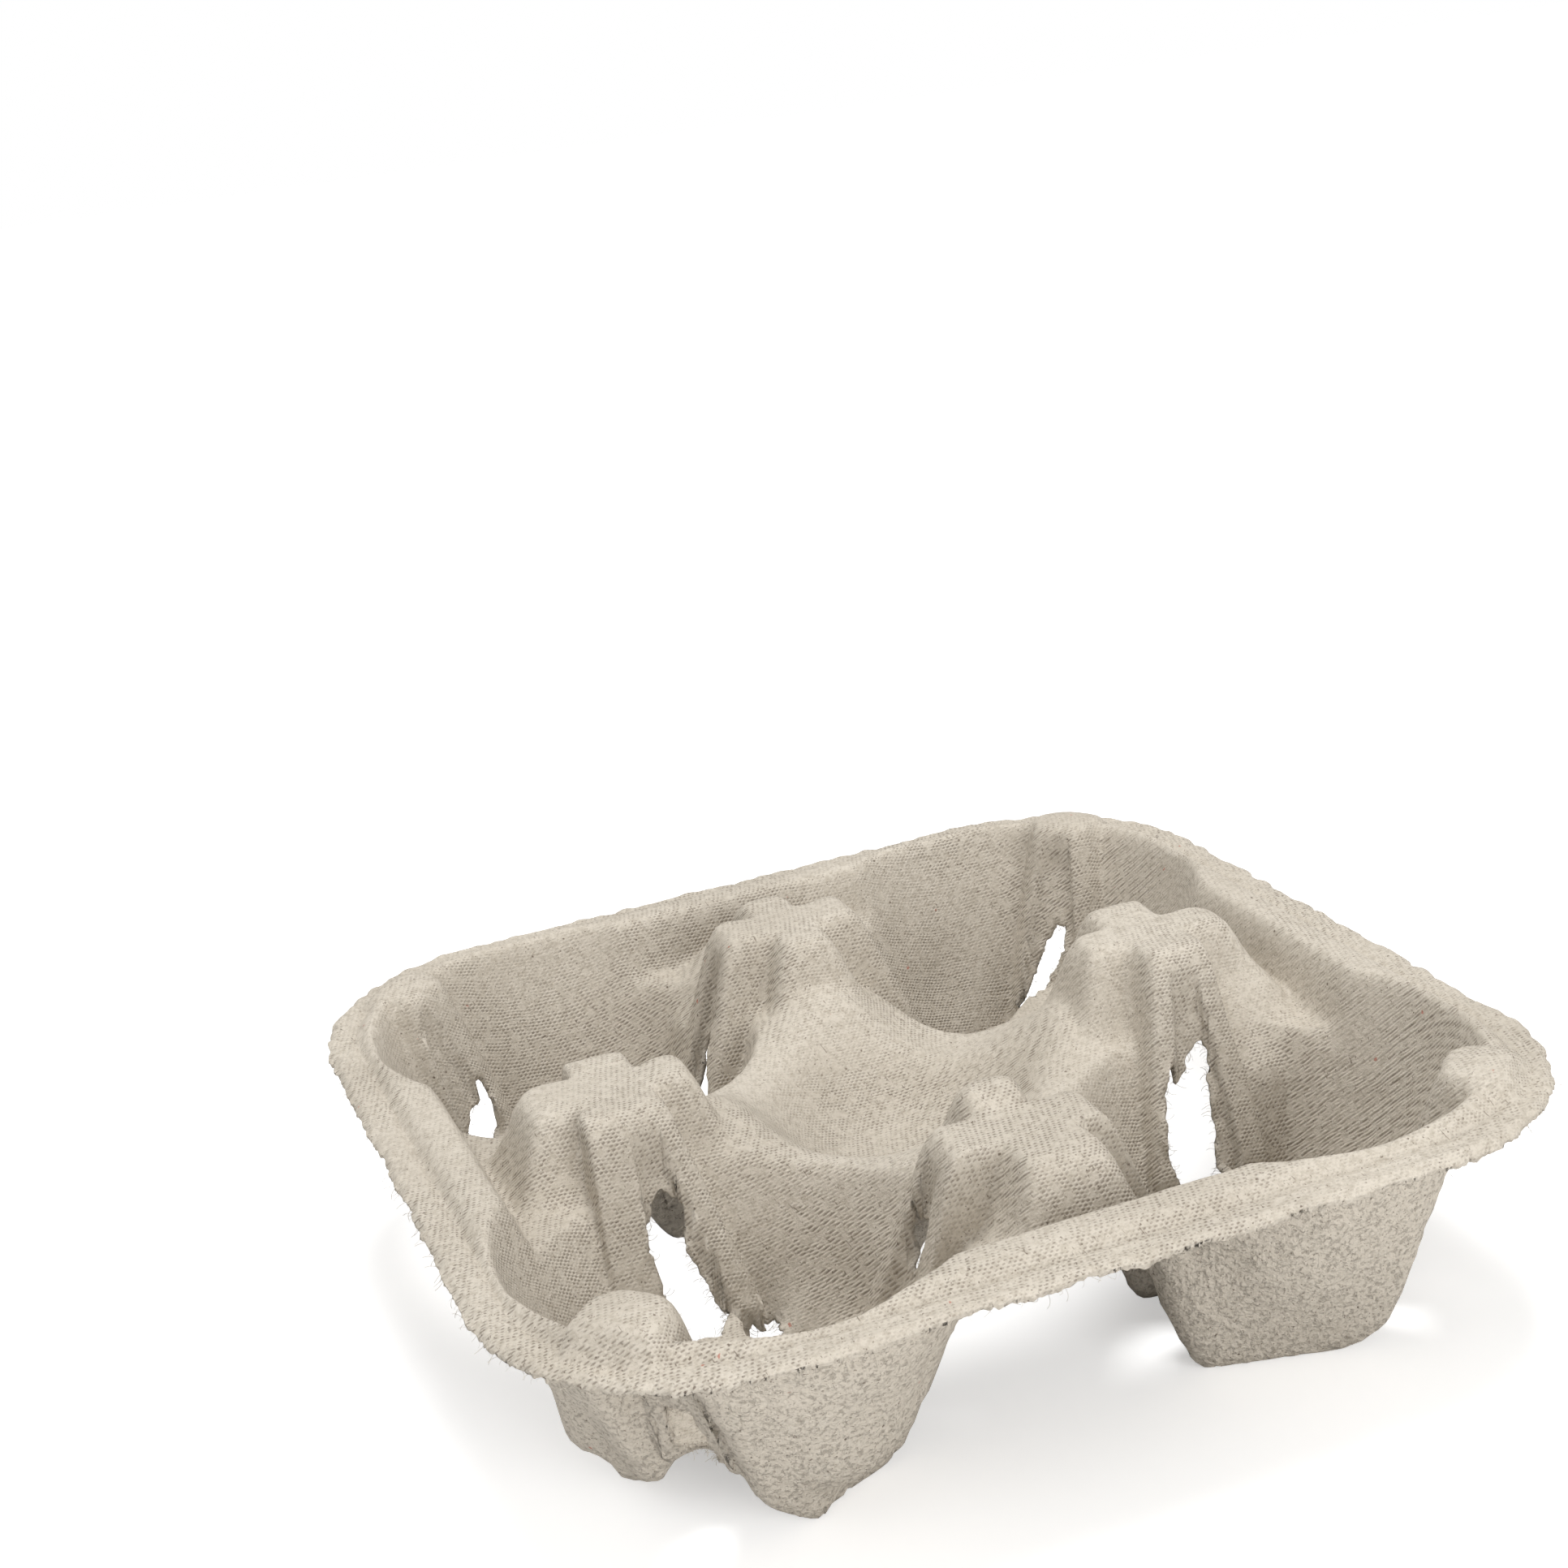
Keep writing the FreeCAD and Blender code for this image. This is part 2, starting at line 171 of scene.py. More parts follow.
# the floor that shows through the torn holes, and how far from there it stops glowing in full
# and starts to do so again
HOLE_FLOOR = (0.0, 0.055, 0.0)
NEAR_GLOW = (0.075, 0.11)
FAR_GLOW = (0.3, 0.6)
# the camera as it was fitted to the photograph, and its three axes
SENSOR = 36.0
FOCAL_LENGTH = 2993.65 / 1932 * SENSOR
CAMERA_PLACE = (-0.16475, -0.43543, 0.26494)
CAMERA_AXES = (
    (0.92702, -0.35650, -0.11663),
    (0.21750, 0.25767, 0.94145),
    (-0.30558, -0.89811, 0.31640),
)


def soft_max(a, b, reach):
    """The higher of two levels, blended where they are within reach of each other."""
    near = np.maximum(reach - np.abs(a - b), 0.0) / reach
    return np.maximum(a, b) + near * near * reach * 0.25


def soft_min(a, b, reach):
    """The lower of two levels, blended in the same way."""
    return -soft_max(-a, -b, reach)


def ease(x, start, end):
    """0 before start, 1 after end, smooth between them."""
    t = np.clip((x - start) / (end - start), 0.0, 1.0)
    return t * t * (3.0 - 2.0 * t)


def square_distance(x, y, half, radius):
    """Distance from a round-cornered square, negative inside it."""
    qx = np.abs(x) - (half - radius)
    qy = np.abs(y) - (half - radius)
    outside = np.hypot(np.maximum(qx, 0.0), np.maximum(qy, 0.0))
    return outside + np.minimum(np.maximum(qx, qy), 0.0) - radius


def channel(across, run, start, end, high, low, edge):
    """1 in a recess that widens away from its head, 0 outside it. run falls from start to end."""
    f = np.clip((start - run) / (start - end), 0.0, 1.4)
    top = high[0] + (high[1] - high[0]) * f
    foot = low[0] + (low[1] - low[0]) * f
    inside = ease(across, foot - edge, foot + edge) * (1.0 - ease(across, top - edge, top + edge))
    return ease(start - run, 0.0, 0.9) * inside


def quarter_turn(x, y, quarter):
    """A point seen from the arm that points along a quarter turn: (outward, sideways)."""
    c = round(math.cos(quarter * math.pi / 2))
    s = round(math.sin(quarter * math.pi / 2))
    return x * c + y * s, -x * s + y * c


def hump(dx, dy, spread):
    """1 at a place, falling away in all directions. spread is a squared length."""
    return np.exp(-(dx ** 2 + dy ** 2) / spread)


def groove(place, centre, depth, width):
    """Depth of a fine round-bottomed groove at a place across it."""
    return depth * np.exp(-(((place - centre) / width) ** 2))


def rim_level(x, y):
    """The flange, a fine groove and the rounded bead of the rim."""
    inward = -square_distance(x, y, HALF_SIDE, FLANGE_RADIUS)
    rise = ease(inward, FLANGE_WIDTH + BEAD_RISE[0], FLANGE_WIDTH + BEAD_RISE[1])
    level = FLANGE_LEVEL + (BEAD_LEVEL - FLANGE_LEVEL) * rise
    level = level - groove(inward, *GROOVE) - groove(inward, *CREASE)
    return level - CURL_DEPTH * (1.0 - ease(inward, *CURL_RANGE)) ** 2


def foot_outline(c, t, half):
    """Distance from a well's axis, measured to the five flat walls that its feet have."""
    across = np.hypot(t, 2.5)
    beside_arch = FOOT_SIDE[0] * c + FOOT_SIDE[1] * across
    behind = FOOT_BACK[0] * across - FOOT_BACK[1] * c
    sides = soft_max(beside_arch, behind, 5.0)
    return WELL_RADIUS + soft_max(sides - half, c - WELL_RADIUS, 4.0)


def ground_level(x, y):
    """Rim, web, dish and wells, before anything stands in them."""
    hollow = -square_distance(x, y, WEB_HALF, WEB_RADIUS)
    r = np.hypot(x, y)
    floor = WEB_LEVEL + (VALLEY_LEVEL - WEB_LEVEL) * ease(r, 60.0, 80.0)
    inner = soft_max(floor, VALLEY_LEVEL - hollow / WEB_LEAN, 4.0)
    ground = soft_min(rim_level(x, y), inner, 5.0)
    place, height, spread = WEB_SWELL
    for quarter in range(4):
        a, b = quarter_turn(x, y, quarter)
        ground = ground + np.where(r < 70.0, height * hump(a - place, b, spread), 0.0)
    (sink_x, sink_y), depth, spread = WEB_SINK
    ground = ground - depth * hump(x - sink_x, y - sink_y, spread)
    dish = soft_max(DISH_LEVEL + 0.02 * r, DISH_LEVEL + (r - DISH_RADIUS) / DISH_LEAN, 9.0)
    ground = soft_min(ground, dish, 5.0)
    for (sx, sy), half, flare in zip(CORNERS, FEET, FLARES):
        c, t = corner_place(x, y, sx, sy)
        rho = np.hypot(c, t)
        # flat walls at the feet turn into a round cone further up
        outline = foot_outline(c, t, half)
        rho = outline + (rho - outline) * ease(outline, 26.5, 38.0)
        rho = rho - flare * ease(rho, 33.0, 43.0)
        ground = soft_min(ground, (rho - WELL_RADIUS) / LEAN, 3.0)
    return ground


def corner_place(x, y, sx, sy):
    """A point seen from a well's axis: towards the tray's corner, and across to the right."""
    wx = x - sx * WELL_OFFSET
    wy = y - sy * WELL_OFFSET
    return (sx * wx + sy * wy) / math.sqrt(2.0), (wx - sx * sy * wy) / math.sqrt(2.0)


def well_level(x, y, corner):
    """The raised floor, the arches that part the feet and the corner nub of one well."""
    sx, sy = CORNERS[corner]
    top, head, foot = NUBS[corner]
    wx = x - sx * WELL_OFFSET
    wy = y - sy * WELL_OFFSET
    rho = np.hypot(wx, wy)
    c, t = corner_place(x, y, sx, sy)
    low = soft_min(FLOOR_LEVEL, FLOOR_LEVEL - (rho - FLOOR_RADIUS) / LEAN, 3.0)
    arches = (
        (c, np.abs(t)) + CORNER_ARCHES[corner],
        (-sx * wx, np.abs(wy - ARCH_OFFSET * sy), ARCH_LEVEL, ARCH_HALF, ARCH_FALL),
        (-sy * wy, np.abs(wx - ARCH_OFFSET * sx), ARCH_LEVEL, ARCH_HALF, ARCH_FALL),
    )
    for out, across, high, half, fall in arches:
        arch = np.where(out > 0.0, high - np.maximum(across - half, 0.0) * fall, NOWHERE)
        low = soft_max(low, arch, 2.5)
    recess = NUB_RECESS * channel(t, c, 36.8, 24.0, (head[1], foot[1]), (head[0], foot[0]), 0.3)
    from_axis = np.maximum(NUB_START - c + recess, 0.0)
    away = np.hypot(from_axis, np.maximum(np.abs(t) - NUB_HALF, 0.0) * 1.5)
    crown = top + 0.4 - 0.018 * ((c - 44.0) ** 2 + t ** 2) - groove(c, 53.5, 2.6, 2.0)
    nub = soft_min(top - (away - NUB_REACH) / LEAN, crown, 4.5)
    nub = nub - np.maximum(c - 49.0, 0.0) * 1.1
    nub = np.where((c > 15.0) & (rho < 70.0), nub, NOWHERE)
    return np.where(rho < 46.0, soft_max(low, nub, 3.0), nub)


def post_level(x, y, quarter):
    """One post: two ribs that stand into the wells, an inner and an outer lobe, and a core."""
    a, side = quarter_turn(x, y, quarter)
    a = a - POST_OFFSET
    b = np.abs(side)
    top = POST_LEVELS[quarter]
    shift, wider, shoulder_top, knob, thicker = POST_FORMS[quarter]
    # the two ribs, with a channel down each face, cut short above the feet
    recess = CHANNEL_DEPTH * channel(a, -b, -17.2, -32.0, (2.2, 3.4), (-3.0, -11.5), 0.35)
    face = top - (b + recess - RIB_REACH) / LEAN
    rim_half = RIB_HALF + thicker * ease(side, 2.0, 12.0)
    flank = top - np.maximum((a - rim_half) / RIB_RIM_LEAN, (-a - RIB_HALF) / RIB_DISH_LEAN)
    rib = soft_min(face, flank, 9.0)
    rib = rib - 4.0 * np.maximum(ARCH_LEVEL - rib, 0.0)
    # the outer and the inner lobe
    outer = ease(a, 0.0, 8.0)
    ends = np.maximum(a - OUTER_LOBE, -a - INNER_LOBE)
    sides = np.abs(side - shift * outer) - LOBE_HALF - wider * outer
    spoke = top - soft_max(ends, sides, 4.0) / LEAN
    spoke = spoke + knob * (1.0 - ease(a, -12.0, -6.0))
    # the shoulder behind the outer lobe
    away = np.hypot(np.maximum(np.abs(a - 17.0) - 4.0, 0.0), 0.72 * np.maximum(b - 9.0, 0.0))
    shoulder = shoulder_top - 1.7 * (np.sqrt(away * away + 16.0) - 4.0)
    shoulder = shoulder - 2.5 * np.maximum(34.0 - shoulder, 0.0)
    core = top - 1.0 - (np.hypot(a, b) - CORE_RADIUS) / LEAN
    body = soft_max(soft_max(rib, spoke, 5.0), core, 6.0)
    body = soft_max(body, shoulder, 6.0)
    # the crown is low in the middle and between the lobes
    lobes = groove(b, 13.0, 0.9, 4.0) + groove(np.abs(a), 14.0, 0.6, 4.0)
    crown = top - 0.4 + lobes - 0.0035 * (a * a + b * b) + knob * (1.0 - ease(a, -11.0, -5.0))
    post = soft_min(body, crown, 5.0)
    return np.where(np.hypot(a, b) < 45.0, post, NOWHERE)


def tray_level(x, y):
    """Level of the tray's upper side over a point of the plan, in millimetres."""
    level = soft_max(ground_level(x, y), FOOT_LEVEL, 1.0)
    for corner in range(4):
        level = soft_max(level, well_level(x, y, corner), 3.0)
    for quarter in range(4):
        level = soft_max(level, post_level(x, y, quarter), 3.5)
    return level


def tear_inside(across, run, rows, levels_to_run, end):
    """Distance inside a torn opening, in millimetres along the sheet."""
    runs = np.array([levels_to_run(row[0]) for row in rows] + [end])
    low = np.array([row[1] for row in rows] + [rows[-1][1] * 0.6])
    high = np.array([row[2] for row in rows] + [rows[-1][2] * 0.6])
    left = np.interp(run, runs, low)
    right = np.interp(run, runs, high)
    sides = np.minimum(across - left, right - across)
    ends = np.minimum(run - runs[0], runs[-1] - run) * 2.2
    return np.minimum(sides, ends)


def rough(points, size, seed):
    """Smooth noise from -1 to 1 at a list of points, with lumps about size across."""
    shift = Vector((seed * 17.3, seed * -9.1, seed * 5.7))
    return np.array([noise.noise(Vector(p) / size + shift) for p in points])


def floor_tear(x, y):
    """The hole beside the dangling strip in the front left well, with the slit above it."""
    a = -x - POST_OFFSET
    b = -y
    top = 31.4 + (a + 10.5) * 0.25
    hole = np.minimum(np.minimum(b - top, 39.5 - b), np.minimum(-10.6 - a, a + 18.5))
    slit = np.minimum(1.1 - np.abs(a + 16.9), np.minimum(b - 28.6, 33.0 - b))
    return np.maximum(hole, slit)


def open_field(x, y, level, ragged):
    """Positive where the sheet is missing: outside the flange and in the torn openings."""
    flange = square_distance(x, y, HALF_SIDE, FLANGE_RADIUS)
    field = floor_tear(x, y)
    for n, (sx, sy) in enumerate(CORNERS):
        c, t = corner_place(x, y, sx, sy)
        run = NUB_START - NUB_REACH + NUB_RECESS - c
        drop = lambda z: (NUBS[n][0] - z) * LEAN
        inside = tear_inside(t, run, CORNER_TEARS[n], drop, CORNER_TEAR_END)
        field = np.maximum(field, np.where(c > 12.0, inside, -20.0))
    for quarter in range(4):
        a, side = quarter_turn(x, y, quarter)
        a = a - POST_OFFSET
        top = POST_LEVELS[quarter]
        for sign in (1, -1):
            rows = POST_TEARS.get((quarter, sign), PLAIN_TEAR)
            drop = lambda z: POST_TEAR_START + (top - z) * LEAN
            inside = tear_inside(a, side * sign, rows, drop, POST_TEAR_END)
            field = np.maximum(field, np.where(side * sign > 10.0, inside, -20.0))
    torn = field > flange
    field = np.maximum(field, flange)
    points = np.column_stack([x, y, level])
    near = np.abs(field) < 4.0
    jag = np.zeros(len(x))
    if near.any():
        depth = np.where(torn[near], 1.0, 0.32)
        jag[near] = depth * (0.75 * rough(points[near], 2.6, 1) + 0.45 * rough(points[near], 1.1, 2))
        jag[near] += np.where(torn[near], 0.0, 0.9) * np.maximum(rough(points[near], 11.0, 11), 0.0)
    return field + ragged * jag


class Sheet:
    """A triangle mesh over the plan that is refined until it follows the tray's upper side."""

    def __init__(self, spacing, ragged):
        count = int(2 * (HALF_SIDE + 2.0) / spacing) + 1
        line = np.linspace(-HALF_SIDE - 2.0, HALF_SIDE + 2.0, count)
        gx, gy = np.meshgrid(line, line, indexing="ij")
        self.x = gx.ravel()
        self.y = gy.ravel()
        self.ragged = ragged
        i, j = np.meshgrid(np.arange(count - 1), np.arange(count - 1), indexing="ij")
        a = (i * count + j).ravel()
        b, c, d = a + count, a + count + 1, a + 1
        flip = ((i + j) % 2 == 0).ravel()
        first = np.where(flip[:, None], np.column_stack([a, b, c]), np.column_stack([a, b, d]))
        second = np.where(flip[:, None], np.column_stack([a, c, d]), np.column_stack([b, c, d]))
        self.tris = np.vstack([first, second])
        outside = square_distance(self.x, self.y, HALF_SIDE, FLANGE_RADIUS) > 3.0
        self.tris = self.tris[~outside[self.tris].all(axis=1)]
        self.measure()

    def measure(self):
        self.z = tray_level(self.x, self.y)
        self.open = open_field(self.x, self.y, self.z, self.ragged)

    def sides(self):
        """The directed edges of all triangles: the first of each, then the second, then the third."""
        return np.vstack([self.tris[:, [0, 1]], self.tris[:, [1, 2]], self.tris[:, [2, 0]]])

    def edges(self):
        """Unique edges, and for each triangle the numbers of its three edges."""
        pairs = np.sort(self.sides(), axis=1)
        key = pairs[:, 0].astype(np.int64) * len(self.x) + pairs[:, 1]
        found, index = np.unique(key, return_inverse=True)
        edges = np.column_stack([found // len(self.x), found % len(self.x)])
        return edges, index.reshape(3, -1).T

    def refine(self, longest, tolerance, smallest, torn_length):
        """Split the edges that are long, that stray from the surface, or that cross a torn edge."""
        edges, of_tri = self.edges()
        a, b = edges.T
        length = np.sqrt((self.x[a] - self.x[b]) ** 2 + (self.y[a] - self.y[b]) ** 2
                         + (self.z[a] - self.z[b]) ** 2)
        mx = (self.x[a] + self.x[b]) / 2.0
        my = (self.y[a] + self.y[b]) / 2.0
        gap = 0.05
        mz = tray_level(mx, my)
        slope_x = (tray_level(mx + gap, my) - mz) / gap
        slope_y = (tray_level(mx, my + gap) - mz) / gap
        stray = np.abs(mz - (self.z[a] + self.z[b]) / 2.0) / np.sqrt(1.0 + slope_x ** 2 + slope_y ** 2)
        flag = (length > longest) | ((stray > tolerance) & (length > smallest))
        torn = (np.minimum(np.abs(self.open[a]), np.abs(self.open[b])) < 1.2) & (length > torn_length)
        gone = (self.open[a] > 1.5) & (self.open[b] > 1.5)
        flag = (flag | torn) & ~gone
        self.split(edges, of_tri, flag, mx, my)

    def split(self, edges, of_tri, flag, mx, my):
        number = np.full(len(edges), -1)
        number[flag] = len(self.x) + np.arange(flag.sum())
        self.x = np.concatenate([self.x, mx[flag]])
        self.y = np.concatenate([self.y, my[flag]])
        mids = number[of_tri]
        marked = mids >= 0
        count = marked.sum(axis=1)
        tris = [self.tris[count == 0]]
        rows = np.arange(len(self.tris))
        # one edge marked: turn it to the front
        one = rows[count == 1]
        first = np.argmax(marked[one], axis=1)
        v = np.take_along_axis(self.tris[one], (first[:, None] + np.arange(3)) % 3, axis=1)
        m = mids[one, first]
        tris += [np.column_stack([v[:, 0], m, v[:, 2]]), np.column_stack([m, v[:, 1], v[:, 2]])]
        # two edges marked: turn the unmarked one to the front
        two = rows[count == 2]
        first = np.argmin(marked[two], axis=1)
        turn = (first[:, None] + np.arange(3)) % 3
        v = np.take_along_axis(self.tris[two], turn, axis=1)
        m = np.take_along_axis(mids[two], turn, axis=1)
        tris += [
            np.column_stack([m[:, 1], v[:, 2], m[:, 2]]),
            np.column_stack([v[:, 0], v[:, 1], m[:, 1]]),
            np.column_stack([v[:, 0], m[:, 1], m[:, 2]]),
        ]
        three = rows[count == 3]
        v, m = self.tris[three], mids[three]
        tris += [
            np.column_stack([v[:, 0], m[:, 0], m[:, 2]]),
            np.column_stack([m[:, 0], v[:, 1], m[:, 1]]),
            np.column_stack([m[:, 2], m[:, 1], v[:, 2]]),
            m,
        ]
        self.tris = np.vstack(tris)
        self.measure()

    def clip(self):
        """Cut the sheet along its torn edges."""
        value = np.where(np.abs(self.open) < 0.06, -1e-6, self.open)
        inside = value < 0.0
        keep = inside[self.tris]
        count = keep.sum(axis=1)
        tris = [self.tris[count == 3]]
        edges, of_tri = self.edges()
        a, b = edges.T
        crossing = inside[a] != inside[b]
        share = np.zeros(len(edges))
        share[crossing] = value[a][crossing] / (value[a][crossing] - value[b][crossing])
        number = np.full(len(edges), -1)
        number[crossing] = len(self.x) + np.arange(crossing.sum())
        nx = self.x[a] + (self.x[b] - self.x[a]) * share
        ny = self.y[a] + (self.y[b] - self.y[a]) * share
        cut_count = len(self.x)
        self.x = np.concatenate([self.x, nx[crossing]])
        self.y = np.concatenate([self.y, ny[crossing]])
        mids = number[of_tri]
        rows = np.arange(len(self.tris))
        one = rows[count == 1]
        first = np.argmax(keep[one], axis=1)
        turn = (first[:, None] + np.arange(3)) % 3
        v = np.take_along_axis(self.tris[one], turn, axis=1)
        m = np.take_along_axis(mids[one], turn, axis=1)
        tris.append(np.column_stack([v[:, 0], m[:, 0], m[:, 2]]))
        two = rows[count == 2]
        first = np.argmin(keep[two], axis=1)
        turn = (first[:, None] + np.arange(3)) % 3
        v = np.take_along_axis(self.tris[two], turn, axis=1)
        m = np.take_along_axis(mids[two], turn, axis=1)
        tris += [
            np.column_stack([m[:, 0], v[:, 1], v[:, 2]]),
            np.column_stack([m[:, 0], v[:, 2], m[:, 2]]),
        ]
        tris = np.vstack(tris)
        used, index = np.unique(tris, return_inverse=True)
        self.tris = index.reshape(-1, 3)
        self.x = self.x[used]
        self.y = self.y[used]
        self.measure()
        self.open = np.where(used >= cut_count, 0.0, np.minimum(self.open, 0.0))

    def normals(self):
        gap = 0.25
        sx = (tray_level(self.x + gap, self.y) - tray_level(self.x - gap, self.y)) / (2 * gap)
        sy = (tray_level(self.x, self.y + gap) - tray_level(self.x, self.y - gap)) / (2 * gap)
        n = np.column_stack([-sx, -sy, np.ones(len(self.x))])
        return n / np.linalg.norm(n, axis=1)[:, None]


def lower_level(wall):
    """The underside as a grid of levels: the upper side sunk by a ball as large as the wall."""
    pitch = 0.5
    reach = HALF_SIDE + 5.0
    line = np.arange(-reach, reach + pitch / 2, pitch)
    gx, gy = np.meshgrid(line, line, indexing="ij")
    top = tray_level(gx.ravel(), gy.ravel()).reshape(gx.shape)
    steps = int(wall / pitch)
    low = np.full(top.shape, 1e3)
    padded = np.pad(top, steps, mode="edge")
    for i in range(-steps, steps + 1):
        for j in range(-steps, steps + 1):
            away = (i * i + j * j) * pitch * pitch
            if away <= wall * wall:
                part = padded[steps + i:steps + i + len(line), steps + j:steps + j + len(line)]
                low = np.minimum(low, part - math.sqrt(wall * wall - away))
    return line, low


def sample(line, grid, x, y):
    """Levels of a grid between its points."""
    pitch = line[1] - line[0]
    fx = np.clip((x - line[0]) / pitch, 0, len(line) - 1.001)
    fy = np.clip((y - line[0]) / pitch, 0, len(line) - 1.001)
    i, j = fx.astype(int), fy.astype(int)
    u, v = fx - i, fy - j
    return (grid[i, j] * (1 - u) * (1 - v) + grid[i + 1, j] * u * (1 - v)
            + grid[i, j + 1] * (1 - u) * v + grid[i + 1, j + 1] * u * v)


def spread(values, edges, rounds):
    """Even out values along the edges of a mesh."""
    count = np.bincount(edges.ravel(), minlength=len(values)).astype(float)[:, None]
    for _ in range(rounds):
        total = np.zeros_like(values)
        for axis in range(values.shape[1]):
            total[:, axis] = (np.bincount(edges[:, 0], values[edges[:, 1], axis], len(values))
                              + np.bincount(edges[:, 1], values[edges[:, 0], axis], len(values)))
        values = 0.5 * values + 0.5 * total / np.maximum(count, 1.0)
    return values


def wrinkles(points):
    """Level ripples on the outer wall of the front right well and below its nub."""
    x, y, z = points.T
    wx = x - WELL_OFFSET
    wy = y + WELL_OFFSET
    along = np.degrees(np.arctan2(wy, wx))
    wave = np.sin(z * 1.25 + 1.6 * rough(points, 9.0, 12))
    wall = ease(along, 5.0, 22.0) * (1.0 - ease(along, 48.0, 62.0))
    wall = wall * ease(z, 16.0, 24.0) * (1.0 - ease(z, 36.0, 44.0))
    nub = (1.0 - ease(np.abs(along + 45.0), 9.0, 16.0)) * ease(z, 34.0, 40.0) * (1.0 - ease(z, 48.0, 52.0))
    return wave * (0.16 * wall + 0.3 * nub)


def worn_feet(side, bottom):
    """Draw the front foot's tip down to the ground and splay the torn foot at the left."""
    x, y, z = side.T
    tip = hump(x + 57.0, y + 75.0, 60.0) * np.clip(1.0 - z / 18.0, 0.0, 1.0)
    side[:, 0] += 2.0 * tip
    side[:, 1] -= 1.5 * tip
    side[:, 2] = np.maximum(z - 5.5 * tip, np.minimum(z, bottom))
    share = ease(-x, 62.0, 70.0) * ease(-y, 26.0, 46.0) * (1.0 - ease(-y, 56.0, 64.0))
    share = share * np.clip(1.0 - z / 38.0, 0.0, 1.0)
    side[:, 0] -= 8.0 * share
    side[:, 2] += 2.6 * share * ease(-y, 46.0, 56.0)


def tray_mesh(settings):
    """Vertices in metres, faces, and the torn edge as points with their outward directions."""
    wall = settings.wall / MM
    sheet = Sheet(GRID, settings.ragged / MM)
    for limits in REFINEMENT:
        sheet.refine(*limits)
    sheet.clip()
    n = sheet.normals()
    top = np.column_stack([sheet.x, sheet.y, sheet.z])
    edges, of_tri = sheet.edges()
    uses = np.bincount(of_tri.ravel(), minlength=len(edges))
    rim = np.zeros(len(top), bool)
    rim[edges[uses == 1].ravel()] = True
    depth = -sheet.open

    # underside: sunk along evened normals, then set on the level of the underside
    line, low = lower_level(wall)
    under = top[:, :2] - wall * spread(n[:, :2].copy(), edges, 4)
    under = np.column_stack([under, sample(line, low, under[:, 0], under[:, 1])])
    under[:, 2] = np.minimum(under[:, 2], top[:, 2] - 0.3)
    thin = (0.5 + 0.5 * ease(depth, 0.0, 3.0))[:, None]
    under = top + (under - top) * thin
    under[:, 2] = np.maximum(under[:, 2], 0.0)

    worn_feet(top, wall)
    worn_feet(under, 0.0)

    # lumps and waves in the pulp
    lump = settings.lump / MM
    coarse = rough(top, 14.0, 3)
    middle = rough(top, 4.2, 4)
    fine = rough(top, 1.9, 5)
    skin = lump * (0.8 * coarse + 0.4 * middle + 0.18 * fine) + wrinkles(top)
    curl = 1.1 * rough(top, 4.0, 6) * (1.0 - ease(depth, 0.0, 3.2))
    below = lump * (0.8 * coarse + 1.5 * rough(under, 4.2, 7) + 0.9 * rough(under, 2.2, 8))
    top = top + n * (skin + curl)[:, None]
    lift = np.where(under[:, 2] < 1.0, 0.3, 1.0)
    under = under + n * ((below + curl) * lift)[:, None]
    under[:, 2] = np.maximum(under[:, 2], 0.0)

    # torn faces between the two sides, bulging a little
    border = edges[uses == 1]
    half = sheet.sides()
    key = np.sort(half, axis=1)
    wanted = set(map(tuple, border))
    directed = [tuple(h) for h, k in zip(half, key) if tuple(k) in wanted]
    ring = np.unique(border)
    place = {v: i for i, v in enumerate(ring)}
    out = np.zeros((len(top), 3))
    for p, q in directed:
        along = top[q] - top[p]
        side = np.cross(along, n[p] + n[q])
        out[p] += side
        out[q] += side
    out = out[ring]
    out /= np.maximum(np.linalg.norm(out, axis=1), 1e-9)[:, None]
    centre = (top[ring] + under[ring]) / 2.0
    bulge = 0.45 + 0.5 * rough(centre, 1.3, 9)
    middle_ring = centre + out * bulge[:, None]
    middle_ring[:, 2] = np.maximum(middle_ring[:, 2], 0.05)

    count = len(top)
    points = np.vstack([top, under, middle_ring]) * MM
    faces = [tuple(t) for t in sheet.tris.tolist()]
    faces += [(c + count, b + count, a + count) for a, b, c in sheet.tris.tolist()]
    for p, q in directed:
        i, j = 2 * count + place[p], 2 * count + place[q]
        faces += [(q, p, i, j), (j, i, p + count, q + count)]
    flange = square_distance(top[ring, 0], top[ring, 1], HALF_SIDE, FLANGE_RADIUS) > -1.5
    hairy = ~flange | (np.arange(len(ring)) % 5 == 0)
    marks = np.concatenate([np.zeros(count), np.ones(count), np.full(len(ring), 0.8)])
    return points, faces, marks, middle_ring[hairy] * MM, out[hairy]


def new_object(name, mesh):
    item = bpy.data.objects.new(name, mesh)
    bpy.context.scene.collection.objects.link(item)
    return item


def socket(tree, name, kind, value, into=True):
    """A named input or output of a node tree."""
    item = tree.interface.new_socket(name, in_out="INPUT" if into else "OUTPUT", socket_type=kind)
    if value is not None:
        item.default_value = value
    return item


